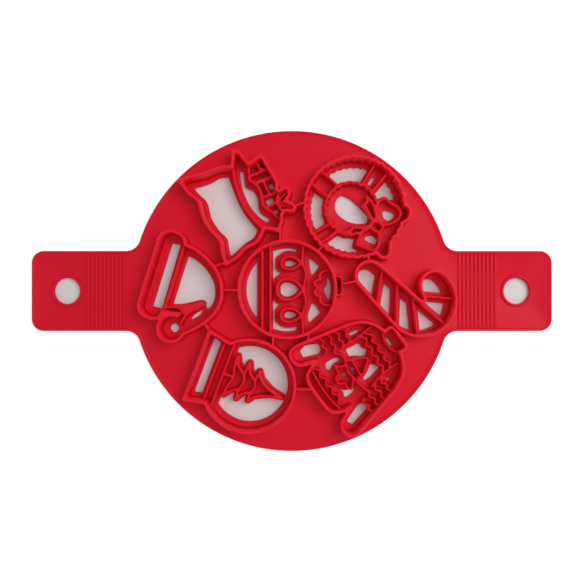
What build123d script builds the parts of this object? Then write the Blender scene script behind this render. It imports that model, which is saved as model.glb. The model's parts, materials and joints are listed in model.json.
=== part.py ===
"""Cookie press: a flexible moulded sheet with seven festive cutters and two pull handles.

It lies flat with its underside on Z = 0 and its cutting edges up. X runs along the
handles, Y across them, and the origin is under the middle of the round sheet.
"""

import os
from math import atan2, cos, degrees, pi, radians, sin, tan

from build123d import *

# ---- driving dimensions, in millimetres ----

disc_diameter = 240
sheet_thickness = 2.5
overall_length = 390
handle_width = 60
handle_corner_radius = 9
handle_flare_radius = 11

edge_bead_width = 1.6
edge_bead_height = 0.5

hang_hole_diameter = 19.6
hang_hole_end_distance = 26.5
hang_collar_width = 2.2
hang_collar_height = 1.2
hang_collar_rounding = 0.88

grip_rib_pitch = 3.0
grip_rib_width = 2.0
grip_rib_height = 1.0
grip_rib_side_gap = 0.2
grip_rib_disc_gap = 4.0
grip_rib_collar_gap = 2.0

cutter_height = 14
cutter_wall = 3.0
imprint_height = 8.5
imprint_wall = 2.6
jumper_imprint_wall = 2.1
tie_rib_width = 2.2

shortest_edge = 0.02
smallest_opening = 4

drawn_disc_diameter = 240
sheet_scale = disc_diameter / drawn_disc_diameter

disc_radius = disc_diameter / 2
handle_end = overall_length / 2

os.makedirs("parts", exist_ok=True)


# ---- helpers for outlines and ridges ----


def sized(drawn):
    """Lengths and points drawn for the drawn disc, brought to the size of this one."""
    if isinstance(drawn, (list, tuple)):
        return type(drawn)(sized(part) for part in drawn)
    return drawn * sheet_scale


def corner_radii(points, closed, sharp_radius):
    """Corner radii for a run of points: gentle turns are as round as their runs allow."""
    count = len(points)
    radii = []
    for i in range(count) if closed else range(1, count - 1):
        before, here, after = (Vector(*points[(i + k) % count]) for k in (-1, 0, 1))
        arriving, leaving = here - before, after - here
        turn = arriving.get_angle(leaving)
        reach = 0.45 * min(arriving.length, leaving.length)
        roundest = reach / max(tan(radians(turn / 2)), 0.01)
        radii.append(roundest if turn < 55 else min(sharp_radius, roundest))
    return radii


def soft_face(points, sharp_radius=1.5):
    """Face inside a closed run of points with rounded corners."""
    with BuildSketch() as face:
        with BuildLine():
            FilletPolyline(*points, radius=corner_radii(points, True, sharp_radius), close=True)
        make_face()
    return face.sketch


def spread(points, margin):
    """Closed counter-clockwise run of points moved outwards, so that each side keeps its direction."""
    count = len(points)
    moved = []
    for i in range(count):
        before, here, after = (Vector(*points[(i + k) % count]) for k in (-1, 0, 1))
        arriving, leaving = (here - before).normalized(), (after - here).normalized()
        out_a, out_b = Vector(arriving.Y, -arriving.X), Vector(leaving.Y, -leaving.X)
        corner = here + (out_a + out_b) * margin / (1 + out_a.dot(out_b))
        moved.append((corner.X, corner.Y))
    return moved


def strip(points, width, sharp_radius=1.5):
    """Face of one ridge along a run of points, closed where it ends at its first point."""
    closed = points[0] == points[-1]
    corners = points[:-1] if closed else points
    pieces = []
    with BuildSketch() as ridge:
        if len(corners) == 2:
            runs = [Edge.make_line(corners[0], corners[1])]
        else:
            radii = [r if r > width / 2 else shortest_edge
                     for r in corner_radii(corners, closed, sharp_radius)]
            with BuildLine() as path:
                FilletPolyline(*corners, radius=radii, close=closed)
            runs = path.edges()
        for run in runs:
            if run.geom_type == GeomType.LINE:
                lean = run % 0.5
                turn = degrees(atan2(lean.Y, lean.X))
                with Locations(run @ 0.5):
                    pieces.append(Rectangle(run.length, width, rotation=turn, mode=Mode.PRIVATE))
                with Locations(run @ 0, run @ 1):
                    pieces.append(Circle(width / 2, mode=Mode.PRIVATE))
            elif run.radius > width / 2:
                bend = trace(run, line_width=width, mode=Mode.PRIVATE).face()
                pieces.append(bend if bend.normal_at().Z > 0 else -bend)
        add(pieces)
    return ridge.sketch


def ridges(lines, width):
    """Face of several ridges, all of one width."""
    with BuildSketch() as all_ridges:
        for line in lines:
            add(strip(line, width))
    return all_ridges.sketch


def inset(face, amount):
    """The face drawn in by an even margin."""
    with BuildSketch() as smaller:
        offset(face, amount=-amount, min_edge_length=shortest_edge)
    return smaller.sketch


def grown(face, amount):
    """The face spread by an even margin."""
    with BuildSketch() as larger:
        offset(face, amount=amount, min_edge_length=shortest_edge)
    return larger.sketch


def motif_plane(x, y, turn):
    """Plane on the underside, turned about Z, in which one motif is drawn upright."""
    return Plane(origin=sized((x, y, 0)), x_dir=(cos(radians(turn)), sin(radians(turn)), 0))


def mirrored_points(half):
    """A run of points on the right, continued by its mirror image on the left."""
    return half + [(-x, y) for x, y in reversed(half) if x != 0]


# ---- bauble ----

bauble_plane = motif_plane(-3, 0.9, -90)
bauble_radius = sized(36.4)
bauble_outside = 0.4
bauble_wall_ledge = 2.7
bauble_loop_ledge = 3.4
bauble_loop_hole_ledge = 1.4
bauble_cap_centre = sized((-2.6, 36.2))
bauble_cap_size = sized((14.6, 8))
bauble_cap_rounding = 2
bauble_cap_wall = 1.7
bauble_bars = sized([-18.6, -12.7])
bauble_bar_blanks = sized([-22.9, -11.0])
bauble_strip_top = sized(6.5)
bauble_loops = sized([(-19.7, 5.0, -4.4, 10.4), (-0.2, 8.2, -8.0, 11.8), (18.9, 5.3, -5.0, 10.4)])


def garland_loop(x, half_width, low, high):
    """Drop-shaped loop that comes to a point at its high end."""
    rise = high - low
    side = [(0.45, 0.0), (0.9, 0.18), (1.0, 0.42), (0.75, 0.72)]
    right = [(x + u * half_width, low + v * rise) for u, v in side]
    left = [(x - u * half_width, low + v * rise) for u, v in reversed(side)]
    loop = right + [(x, high)] + left
    return loop + loop[:1]


def bauble_cap(margin):
    """Cap of the bauble, spread by a margin."""
    with BuildSketch() as cap:
        with Locations(bauble_cap_centre):
            width, height = bauble_cap_size
            RectangleRounded(width + 2 * margin, height + 2 * margin, bauble_cap_rounding)
    return cap.sketch


with BuildSketch() as bauble_outline:
    Circle(bauble_radius + bauble_outside)
    add(bauble_cap(bauble_outside))

with BuildSketch() as bauble_hollow:
    add(bauble_cap(bauble_outside - bauble_cap_wall))
    Circle(bauble_radius + bauble_outside, mode=Mode.SUBTRACT)
    Circle(bauble_radius + bauble_outside - cutter_wall)

bauble_lines = [[(-disc_radius / 3, y), (disc_radius / 3, y)] for y in bauble_bars]
bauble_lines += [garland_loop(*loop) for loop in bauble_loops]
bauble_lines += sized([
    [(-40, 11.8), (-30, 11.6), (-20.4, 10.6), (-10.9, 14.2), (-0.4, 11.4), (9.4, 14.2),
     (18.7, 10.6), (28, 11.4), (40, 11.8)],
    [(-14.6, 33), (-13.8, 26.0), (-10.4, 23.4), (-7.4, 24.8), (-7.2, 21.4), (-4.4, 19.4),
     (-1.3, 22.8), (1.8, 19.4), (4.6, 21.4), (4.8, 24.8), (7.8, 23.4), (11.2, 26.0), (12.0, 33)],
])

bauble_vent_points = sized([
    [(-24.4, 15.8), (-17.6, 23.6), (-13.6, 20.8), (-10.6, 18.0), (-16.9, 16.4)],
    [(9.6, 18.2), (12.0, 21.2), (17.2, 24.2), (25.0, 16.0), (19.8, 14.8), (14.3, 16.6)],
    [(-10.4, 29.4), (-6.9, 31.2), (-1.3, 32.1), (3.7, 31.9), (8.6, 30.4), (5.2, 29.2),
     (-0.3, 26.8), (-3.4, 29.2)],
])

with BuildSketch() as bauble_vents:
    Circle(bauble_radius + bauble_outside - cutter_wall - bauble_wall_ledge)
    with Locations((0, sum(bauble_bar_blanks) / 2)):
        Rectangle(disc_radius, bauble_bar_blanks[1] - bauble_bar_blanks[0], mode=Mode.SUBTRACT)
    with Locations((0, bauble_strip_top)):
        Rectangle(disc_radius, bauble_radius, align=(Align.CENTER, Align.MIN), mode=Mode.SUBTRACT)
    add(ridges(bauble_lines[2:5], imprint_wall + 2 * bauble_loop_ledge), mode=Mode.SUBTRACT)
    for loop in bauble_loops:
        loop_face = soft_face(garland_loop(*loop)[:-1])
        add(inset(loop_face, imprint_wall / 2 + bauble_loop_hole_ledge))
    for vent in bauble_vent_points:
        add(soft_face(vent, 0.8))


# ---- snow globe ----

globe_plane = motif_plane(-31.2, -69.6, -110.6)
globe_radius = sized(34.4)
globe_outside = 0.8
globe_wall_ledge = 4.0
globe_ridge_ledge = 1.35
globe_plinth = sized([(-28.4, -41.4), (26.2, -41.4), (21.1, -16), (-23.3, -16)])
globe_plinth_vent = sized([(-22.8, -37.2), (20.5, -37.2), (18.9, -31.3), (-21.3, -31.3)])
globe_floor_blank_y = sized(-17.2)

tree_tip = sized((0.8, 26.0))
tree_tiers = sized([
    [(-16.5, -15.6), (-9.0, -15.2), (-1.5, -12.6), (6.0, -15.0), (14.5, -15.8)],
    [(-14.7, -5.5), (-7.0, -6.6), (-0.9, -4.3), (5.8, -6.4), (13.8, -6.0)],
    [(-11.3, 3.6), (-4.8, 2.8), (0.4, 4.8), (5.4, 2.4), (12.1, 2.8)],
])
tree_bends = sized([
    [(-10.0, -12.4), (-6.4, -6.4)],
    [(9.0, -12.0), (5.4, -6.2)],
    [(-8.0, -2.4), (-4.4, 3.0)],
    [(7.6, -2.8), (4.6, 2.6)],
    [(-5.6, 7.6), (-1.8, 14.5)],
    [(6.4, 6.6), (3.0, 14.5)],
])
tree_ends = [tier[end] for tier in tree_tiers for end in (0, -1)]
tree_sides = [[end] + bend for end, bend in zip(tree_ends, tree_bends)]
for top_side in tree_sides[4:]:
    top_side.append(tree_tip)
tree_outline = [tree_ends[0], tree_tiers[0][2], tree_ends[1], tree_bends[1][1], tree_ends[3],
                tree_bends[3][1], tree_ends[5], tree_tip, tree_ends[4], tree_bends[2][1],
                tree_ends[2], tree_bends[0][1]]


def globe_shape(margin):
    """Round globe on its plinth, spread by a margin."""
    with BuildSketch() as shape:
        Circle(globe_radius + margin)
        add(soft_face(spread(globe_plinth, margin)))
    return shape.sketch


globe_lines = sized([
    [(-40, -21.0), (40, -21.0)],
    [(-40, -27.7), (40, -27.7)],
    [(-1.4, -21.0), (-1.4, -13.2)],
])
globe_lines += tree_tiers + tree_sides

with BuildSketch() as globe_vents:
    Circle(globe_radius + globe_outside - cutter_wall - globe_wall_ledge)
    with Locations((0, globe_floor_blank_y)):
        Rectangle(disc_radius, globe_radius, align=(Align.CENTER, Align.MAX), mode=Mode.SUBTRACT)
    with BuildLine():
        Polyline(*tree_outline, close=True)
    make_face(mode=Mode.SUBTRACT)
    add(ridges(globe_lines[2:], imprint_wall + 2 * globe_ridge_ledge), mode=Mode.SUBTRACT)
    add(soft_face(globe_plinth_vent, 1))


# ---- Santa hat ----

hat_plane = motif_plane(-79.8, 2.2, -107.5)
hat_outside = 1.8
pompom_centre = sized((30.8, 1.4))
pompom_radius = sized(9.3)
hat_brim_centre = sized((-4.6, -16.6))
hat_brim_size = sized((64.4, 19.2))

hat_cone = sized([
    (24, -14), (34, 8), (26.6, 16.8), (18.2, 24.2), (8.6, 29.2), (-1.5, 29.9), (-12.4, 26.0),
    (-20.6, 18.6), (-26.2, 9.4), (-29.6, 0), (-30.6, -14)])
hat_web = sized([
    (19.6, -9.6), (17.2, 5.8), (22.0, 4.2), (22.4, 0.5), (23.6, -3.2), (28.0, -7.4), (27, -11)])


def hat_shape(margin):
    """Hat with its brim and pompom, spread by a margin."""
    width, height = (side + 2 * margin for side in hat_brim_size)
    with BuildSketch() as shape:
        add(soft_face(spread(hat_cone, margin), 1))
        with Locations(hat_brim_centre):
            RectangleRounded(width, height, 0.44 * height)
        with Locations(pompom_centre):
            Circle(pompom_radius + margin)
    return shape.sketch


hat_lines = sized([
    [(-40, -8.7), (40, -8.7)],
    [(17.5, -8.7), (14.8, 1.0), (10.8, 9.5), (7.0, 16.0)],
    [(7.0, 16.0), (11.0, 15.2), (14.2, 11.0), (18.5, 7.8), (26.0, 6.0)],
])

hat_curl = sized([
    (15.4, -2.0), (16.6, 2.0), (18.6, 4.6), (19.6, 8.4), (15.4, 11.2), (12.4, 14.8), (8.6, 18.6),
    (6.2, 17.4), (6.6, 14.6), (11.8, 7.4)])

with BuildSketch() as hat_hollow:
    add(hat_shape(hat_outside - cutter_wall))
    add(soft_face(hat_web, 0.8), mode=Mode.SUBTRACT)

hat_vent_points = sized([
    [(-23.6, -5.2), (-23.0, -0.4), (-20.2, 7.0), (-15.6, 14.2), (-9.2, 20.2), (-0.8, 23.3),
     (6.4, 22.9), (10.0, 20.6), (8.8, 19.0), (4.8, 17.8), (4.4, 14.2), (7.4, 9.5), (11.6, 2.5),
     (14.2, -5.2)],
    [(-29.4, -19.6), (20.2, -19.4), (20.0, -12.2), (-29.6, -13.2)],
    [(10.2, 18.4), (16.4, 12.6), (21.0, 10.6), (20.4, 12.6), (15.4, 17.0)],
])
pompom_vent_radius = sized(3.3)

with BuildSketch() as hat_vents:
    for vent in hat_vent_points:
        add(soft_face(vent, 0.8))
    with Locations(pompom_centre):
        Circle(pompom_vent_radius)


# ---- gift sack ----

sack_plane = motif_plane(-38.6, 61.2, -64)
sack_outside = 1.1
sack_collar_width = 3.0

sack_points = sized([
    (-36.0, -31.0), (-34.8, -21.0), (-32.4, -12.0), (-32.4, -4.0), (-30.8, 3.5), (-27.9, 8.0),
    (-38.2, 14.2), (-35.5, 17.8), (-24.6, 20.2), (-25.4, 24.8), (-27.0, 31.4), (-2.6, 33.4),
    (0.8, 30.4), (2.6, 31.6), (1.8, 36.4), (5.2, 39.4), (9.2, 37.0), (11.4, 32.4), (15.2, 36.2),
    (18.8, 37.4), (20.8, 34.4), (17.4, 28.4), (19.6, 25.4), (22.6, 24.6), (28.4, 19.2),
    (22.4, 9.8), (28.0, 4.2), (30.0, -1.8), (29.6, -9.0), (33.0, -16.0), (34.2, -27.0),
    (24.0, -25.4), (16.4, -22.4), (8.5, -26.0), (-1.0, -27.4), (-10.0, -26.0), (-16.2, -24.4),
    (-24.0, -28.6)])[::-1]


def sack_shape(margin):
    """Tied sack, spread by a margin."""
    return soft_face(spread(sack_points, margin), 1.2)


sack_collar = sized([
    (-32, 9.8), (-24, 7.2), (-15.9, 5.0), (-6, 3.9), (4, 4.2), (14, 6.6), (26, 11.0)])
sack_lines = sized([
    [(-27, 20.6), (-20, 17.6), (-15.2, 15.6), (-10.5, 18.6), (-4.0, 19.8), (3.2, 17.3), (7.8, 16.7),
     (13.0, 20.0), (22.0, 23.6)],
    [(-17.2, 16.0), (-16.4, 36)],
    [(-10.4, 18.0), (-9.8, 36)],
    [(-30, 25.8), (-16.8, 26.4)],
    [(-10.1, 24.4), (1.6, 24.6), (1.6, 31.0)],
    [(1.6, 24.6), (0.6, 18.4)],
    [(9.0, 17.0), (8.6, 26.2), (16.0, 27.4)],
    [(8.6, 26.2), (2.4, 31.4)],
    [(8.6, 26.2), (11.4, 33.0)],
    [(8.6, 26.2), (5.4, 36.0)],
    [(8.6, 26.2), (18.0, 34.6)],
])

sack_vent_points = sized([
    [(-29.6, -24.4), (-27.8, -16.0), (-27.4, -9.0), (-28.2, -4.0), (-25.8, 2.6), (-16.5, 1.6),
     (-4.0, 0.6), (7.0, 1.4), (19.6, 4.6), (23.8, 0.0), (24.4, -8.5), (26.8, -14.8),
     (28.6, -21.8), (22.0, -20.4), (15.4, -18.0), (8.0, -21.2), (-3.0, -22.8), (-10.0, -21.2),
     (-16.5, -19.8), (-24.0, -23.0)],
    [(-26.2, 12.2), (-24.4, 14.4), (-13.2, 10.6), (-7.6, 15.2), (-1.4, 15.2), (5.4, 12.4),
     (10.0, 12.6), (15.8, 16.4), (18.4, 14.2), (10.5, 9.6), (0.5, 7.4), (-10.0, 7.6),
     (-18.8, 9.4)],
])
sack_slots = sized([
    ((-20.0, 28.3), (3.8, 1.2)),
    ((-13.2, 24.0), (1.4, 8.8)),
    ((-5.2, 28.3), (4.2, 3.0)),
    ((4.7, 22.6), (5.0, 5.4)),
    ((13.2, 23.2), (3.2, 3.2)),
])

with BuildSketch() as sack_vents:
    for vent in sack_vent_points:
        add(soft_face(vent, 0.9))
    for centre, (width, height) in sack_slots:
        with Locations(centre):
            RectangleRounded(width, height, 0.5)


# ---- wreath ----

wreath_plane = motif_plane(45.2, 61.5, 52.5)
wreath_outside = 0.4
wreath_centre = sized((0.1, -1.0))
wreath_radius = sized(36.8)
wreath_scallops = 40
wreath_opening_centre = sized((-1.2, 0.5))
wreath_opening_radius = sized(18.3)
wreath_opening_scallops = 22
scallop_rise = 1.0
wreath_wall_ledge = 3.2
wreath_ridge_ledge = 1.25


def scalloped_face(centre, radius, count, rise):
    """Round face whose edge is a run of small outward arcs."""
    cx, cy = centre
    with BuildSketch() as face:
        with BuildLine():
            for i in range(count):
                a, b, c = (2 * pi * (i + k) / count for k in (0, 0.5, 1))
                ThreePointArc(
                    (cx + radius * cos(a), cy + radius * sin(a)),
                    (cx + (radius + rise) * cos(b), cy + (radius + rise) * sin(b)),
                    (cx + radius * cos(c), cy + radius * sin(c)),
                )
        make_face()
    return face.sketch


wreath_bow = sized([
    (1.2, -33.0), (6.0, -32.8), (11.7, -36.8), (17.1, -38.8), (22.9, -36.4), (25.6, -31.4),
    (23.0, -26.2), (16, -20), (-14, -20), (-17.6, -31.4), (-18.4, -39.4), (-15.2, -43.4),
    (-10.6, -42.8), (-4.5, -39.0)])
wreath_inner = scalloped_face(
    wreath_opening_centre, wreath_opening_radius, wreath_opening_scallops, scallop_rise)


def wreath_shape(margin):
    """Scalloped wreath with the lower half of its bow, spread by a margin."""
    with BuildSketch() as shape:
        add(scalloped_face(wreath_centre, wreath_radius + margin, wreath_scallops, scallop_rise))
        add(soft_face(spread(wreath_bow, margin), 2))
    return shape.sketch


wreath_lines = sized([
    [(-5.0, 40), (-4.8, 18.4)],
    [(7.4, 40), (5.6, 17.6)],
    [(40, 6.8), (16.8, 4.6)],
    [(40, -5.2), (17.0, -4.0)],
    [(-40, 14.2), (-17.2, 4.8)],
    [(-40, 4.2), (-18.6, -2.0)],
    [(0.9, -17.8), (3.0, -21.8), (2.4, -26.4), (-2.6, -27.0), (-4.2, -22.8), (-3.4, -18.6),
     (0.9, -17.8)],
    [(2.8, -20.0), (9.0, -14.6), (15.4, -12.4), (20.0, -14.8), (19.2, -20.4), (20.6, -26.6),
     (18.4, -31.0), (12.8, -32.0), (6.4, -29.2), (3.0, -25.2)],
    [(-3.8, -19.2), (-8.8, -16.6), (-15.0, -17.0), (-20.4, -19.0), (-18.6, -24.2), (-16.8, -31.0),
     (-12.2, -33.0), (-6.8, -30.6), (-3.2, -26.4)],
    [(1.0, -18.0), (4.4, -11.0), (6.2, -5.0), (9.0, -6.4), (12.4, -3.6), (11.2, -10.6),
     (2.8, -20.0)],
    [(-3.6, -18.8), (-8.4, -14.0), (-12.4, -8.6), (-14.0, -9.6), (-18.4, -6.0)],
])

with BuildSketch() as wreath_inner_ridge:
    add(grown(wreath_inner, imprint_wall / 2))
    add(inset(wreath_inner, imprint_wall / 2), mode=Mode.SUBTRACT)

wreath_vent_points = sized([
    [(-8.6, 9.6), (-4.8, 12.6), (-0.6, 13.8), (3.6, 12.4), (5.2, 6.0), (4.4, -3.0), (2.4, -13.0),
     (-1.6, -15.2), (-6.2, -10.6), (-9.6, -3.4), (-10.2, 3.6)],
    [(13.4, -18.4), (15.4, -22.6), (16.6, -28.0), (12.6, -28.6), (9.2, -26.8), (8.8, -22.6)],
    [(-12.6, -20.6), (-8.6, -21.2), (-6.4, -24.6), (-7.0, -28.8), (-11.0, -30.2), (-11.8, -26.2)],
])
wreath_bow_blank = sized([
    (3, -25), (9, -14.6), (15.4, -12.4), (20, -14.8), (40, -40), (-40, -40), (-20, -19),
    (-8.8, -16.6)])
wreath_slot_centre = sized((25.4, 1.2))
wreath_slot_size = sized((7, 2.2))

with BuildSketch() as wreath_vents:
    add(scalloped_face(
        wreath_centre, wreath_radius + wreath_outside - cutter_wall - wreath_wall_ledge,
        wreath_scallops, scallop_rise))
    add(grown(wreath_inner, imprint_wall / 2 + wreath_ridge_ledge), mode=Mode.SUBTRACT)
    for near, far in zip(wreath_lines[0:6:2], wreath_lines[1:6:2]):
        with BuildLine():
            Polyline(near[0], near[1], far[1], far[0], close=True)
        make_face(mode=Mode.SUBTRACT)
    add(ridges(wreath_lines[:9], imprint_wall + 2 * wreath_ridge_ledge), mode=Mode.SUBTRACT)
    with BuildLine():
        Polyline(*wreath_bow_blank, close=True)
    make_face(mode=Mode.SUBTRACT)
    for vent in wreath_vent_points:
        add(soft_face(vent, 1.5))
    with Locations(Location(wreath_slot_centre, 3)):
        RectangleRounded(*wreath_slot_size, 0.6)


# ---- candy cane ----

cane_plane = motif_plane(79.5, -7.2, -134.6)
cane_outside = 1.3
cane_wall_ledge = 2.0
cane_ridge_ledge = 2.5
cane_vent_shifts = sized([(0.4, -0.5), (3.0, -0.5)])

cane_tail = sized([(-7.8, -29.6), (2.7, -39.2), (13.2, -29.6)])
cane_bend = sized([(15.9, 11.0), (-9.6, 36.4), (-35.9, 10.4)])
cane_tip = sized([(-35.9, 10.4), (-25.4, -0.6), (-14.9, 8.0)])
cane_crook = sized([(-14.9, 8.0), (-12.6, 12.6), (-10.0, 11.4), (-7.8, -29.6)])

with BuildSketch() as cane_face:
    with BuildLine():
        ThreePointArc(*cane_tail)
        Line(cane_tail[-1], cane_bend[0])
        ThreePointArc(*cane_bend)
        ThreePointArc(*cane_tip)
        Polyline(*cane_crook)
    make_face()

cane_lines = sized([
    [(-12, -28.0), (20, -5.7)],
    [(-12, -14.0), (22, 17.8)],
    [(-11, 2.4), (14, 33.6)],
    [(-9.0, 8.0), (-11.2, 40)],
    [(-9.0, 3.2), (-36, 36.2)],
])


def cane_shape(margin):
    """Candy cane, spread by a margin."""
    return grown(cane_face.sketch, margin)


cane_vent_bed = cane_shape(cane_outside - cutter_wall - cane_wall_ledge)
with BuildSketch() as cane_vents:
    for shift, mode in zip(cane_vent_shifts, (Mode.ADD, Mode.INTERSECT)):
        with Locations(shift):
            add(cane_vent_bed, mode=mode)
    add(ridges(cane_lines, imprint_wall + 2 * cane_ridge_ledge), mode=Mode.SUBTRACT)


# ---- patterned jumper ----

jumper_plane = motif_plane(41.3, -60.8, -53.9)
jumper_outside = 1.6

jumper_half = sized([
    (8.2, 46.4), (9.8, 44.0), (9.0, 39.6), (12.6, 38.9), (18.6, 36.2), (24.6, 31.0), (28.8, 22.0),
    (33.2, 4.0), (37.4, -13.0), (38.9, -20.4), (37.4, -25.6), (31.6, -27.6), (25.8, -25.2),
    (20.7, -12.0), (19.0, -20.0), (16.6, -25.0), (12.0, -27.0), (0, -27.6)])
jumper_points = mirrored_points(jumper_half)[::-1]


def jumper_shape(margin):
    """Jumper with its neck and sleeves, spread by a margin."""
    return soft_face(spread(jumper_points, margin), 1.6)


def zigzag(start, end, teeth, depth):
    """Zigzag run of points between two points, with its teeth to both sides in turn."""
    along = (Vector(*end) - Vector(*start)) / (2 * teeth)
    across = Vector(-along.Y, along.X).normalized() * depth / 2
    points = []
    for i in range(2 * teeth + 1):
        point = Vector(*start) + along * i + across * (1 if i % 2 else -1)
        points.append((point.X, point.Y))
    return points


jumper_zigzags = [
    ((-16.4, 25.0), (15, 22.6), 4, 3.6),
    ((-15.6, 30.0), (15.2, 28.4), 4, 3.4),
    ((-17.7, -16.9), (13.1, -16.3), 4, 3.4),
    ((-33.2, -0.6), (-20.2, -4.0), 2, 3.2),
    ((-31.6, 5.5), (-18.6, 2.8), 2, 3.2),
    ((-30.0, 11.4), (-17.6, 9.4), 2, 3.2),
    ((-28.0, 17.3), (-17.4, 14.8), 2, 3.0),
    ((34.8, -1.6), (21.8, -3.2), 2, 3.2),
    ((33.6, 4.7), (19.8, 3.4), 2, 3.2),
    ((32.0, 11.1), (18.2, 10.2), 2, 3.2),
    ((29.6, 17.9), (17.2, 16.8), 2, 3.0),
]
jumper_lines = [
    zigzag(sized(start), sized(end), teeth, sized(depth))
    for start, end, teeth, depth in jumper_zigzags
]
jumper_lines += sized([
    [(-16.2, -20.0), (-7.2, -21.4), (2.4, -21.9), (10.8, -21.4), (17.8, -20.0)],
    [(-18, 9.0), (-17, 17.0), (-17, 25.0), (-17.8, 34)],
    [(18.2, 9.0), (16.6, 16.0), (15.2, 22.6), (15.6, 34)],
    [(-10.6, 40), (-8.8, 38.2), (-3.8, 35.8), (2.6, 35.6), (7.8, 37.6), (10.4, 40)],
    [(-18, 1.0), (-13.8, 4.2), (-9.2, 4.6), (-4.7, 1.8), (1, 0.8), (7.8, 1.8), (13.8, 2.6),
     (19.6, 4.4)],
    [(-6.1, 8.0), (-4, 13.0), (-0.8, 18.4), (1.6, 17.6), (3, 13.8), (7.4, 9.4), (6, 6.8),
     (0.2, 7.6), (-6.1, 8.0)],
    [(-9.0, 4.4), (-5.6, 8.2)],
    [(6.8, 7.8), (7.8, 1.8)],
    [(-9.8, -4.6), (-6.6, -1.0), (-5.8, 2.4)],
    [(5.6, 1.6), (8.4, -2.0), (11.4, -4.4), (8.6, -6.8), (4.4, -5.6), (2.4, -10.4), (-2.4, -9.4),
     (-3.4, -5.2), (-9.8, -4.6)],
])

jumper_vent_points = sized([
    [(-33.4, -19.0), (-34.8, -14.0), (-30.2, -5.4), (-26.4, -5.0), (-23.2, -8.2), (-28.0, -20.0)],
    [(29.6, -22.0), (24.4, -6.8), (27.8, -0.6), (30.8, -3.0), (34.4, -19.8)],
    [(-14.1, 9.2), (-12.4, 20.0), (-8.4, 19.6), (-4.8, 21.8), (-1.6, 18.0), (-5.9, 12.8),
     (-8.6, 8.4)],
    [(5.2, 17.6), (11.4, 22.0), (13.6, 11.4), (13.2, 6.8), (10.8, 7.4), (8.8, 13.0)],
    [(-14.8, -9.0), (-14.2, -1.6), (-12.3, 1.2), (-10.0, 0.4), (-11.4, -5.0), (-7.8, -9.6),
     (-10.8, -11.2)],
    [(6.2, -12.6), (10.2, -9.4), (13.6, -1.8), (15.4, -6.6), (15.0, -13.0), (10.7, -10.8)],
    [(-4.6, 38.4), (-2.4, 39.9), (3.8, 39.8), (4.4, 38.4), (0.9, 37.5)],
    [(-22.4, 18.4), (-21.0, 26.0), (-19.2, 24.5), (-20.4, 17.8)],
])

jumper_small_vents = sized([(0.4, -2.9), (0.7, 4.8), (22.3, 22.1)])
jumper_small_vent_radius = sized(1.2)

with BuildSketch() as jumper_vents:
    for vent in jumper_vent_points:
        add(soft_face(vent, 0.9))
    with Locations(*jumper_small_vents):
        Circle(jumper_small_vent_radius)


# ---- the seven motifs: plane, outline, hollow, ridges and vent openings ----


def clear_openings(vents, imprint_parts):
    """The openings kept off the ridges, without slivers too narrow to mould."""
    with BuildSketch() as openings:
        add(vents.sketch)
        for part in imprint_parts:
            add(part, mode=Mode.SUBTRACT)
    return [face for face in openings.faces() if face.area > smallest_opening]


def wall_faces(shape, outside):
    """Outline of a cutter wall that stands that far outside its drawn line, and its hollow."""
    return shape(outside), shape(outside - cutter_wall)


motifs = {
    "sack": (sack_plane, *wall_faces(sack_shape, sack_outside), sack_vents),
    "wreath": (wreath_plane, *wall_faces(wreath_shape, wreath_outside), wreath_vents),
    "hat": (hat_plane, hat_shape(hat_outside), hat_hollow.sketch, hat_vents),
    "bauble": (bauble_plane, bauble_outline.sketch, bauble_hollow.sketch, bauble_vents),
    "cane": (cane_plane, *wall_faces(cane_shape, cane_outside), cane_vents),
    "globe": (globe_plane, *wall_faces(globe_shape, globe_outside), globe_vents),
    "jumper": (jumper_plane, *wall_faces(jumper_shape, jumper_outside), jumper_vents),
}

imprint_faces = {
    "sack": [ridges(sack_lines, imprint_wall), strip(sack_collar, sack_collar_width)],
    "wreath": [ridges(wreath_lines, imprint_wall), wreath_inner_ridge.sketch],
    "hat": [ridges(hat_lines, imprint_wall), soft_face(hat_curl)],
    "bauble": [ridges(bauble_lines, imprint_wall)],
    "cane": [ridges(cane_lines, imprint_wall)],
    "globe": [ridges(globe_lines, imprint_wall)],
    "jumper": [ridges(jumper_lines, jumper_imprint_wall)],
}


# ---- moulded sheet: round disc and two handles, with a raised bead along the edge ----

with BuildSketch() as sheet_face:
    Circle(disc_radius)
    Rectangle(overall_length, handle_width)
    corners = sheet_face.vertices().sort_by(Axis.X)
    fillet(corners[:2] + corners[-2:], handle_corner_radius)
    handle_joints = [v for v in sheet_face.vertices()
                     if abs(abs(v.Y) - handle_width / 2) < 0.01 and abs(v.X) < disc_radius]
    fillet(handle_joints, handle_flare_radius)

wall_bed = inset(sheet_face.sketch, edge_bead_width)
with BuildSketch() as bead_face:
    add(sheet_face.sketch)
    add(wall_bed, mode=Mode.SUBTRACT)

with BuildPart() as press_disc:
    with BuildSketch():
        Circle(disc_radius)
    extrude(amount=sheet_thickness)
    with BuildSketch(Plane.XY.offset(sheet_thickness)):
        add(bead_face.sketch)
        Circle(disc_radius, mode=Mode.INTERSECT)
    extrude(amount=edge_bead_height)
    for name, (plane, outline, hollow, vents) in motifs.items():
        with BuildSketch(plane):
            add(clear_openings(vents, imprint_faces[name]))
        extrude(amount=sheet_thickness, mode=Mode.SUBTRACT)

press_disc.part.label = "press_disc"
export_step(press_disc.part, "parts/press_disc.step")

hang_hole_x = handle_end - hang_hole_end_distance
hang_hole_radius = hang_hole_diameter / 2
hang_collar_radius = hang_hole_radius + hang_collar_width
grip_rib_start = disc_radius + grip_rib_disc_gap
grip_rib_room = hang_hole_x - hang_collar_radius - grip_rib_collar_gap - grip_rib_start
grip_rib_count = int(grip_rib_room / grip_rib_pitch)
grip_rib_centre = grip_rib_start + grip_rib_count * grip_rib_pitch / 2

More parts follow.
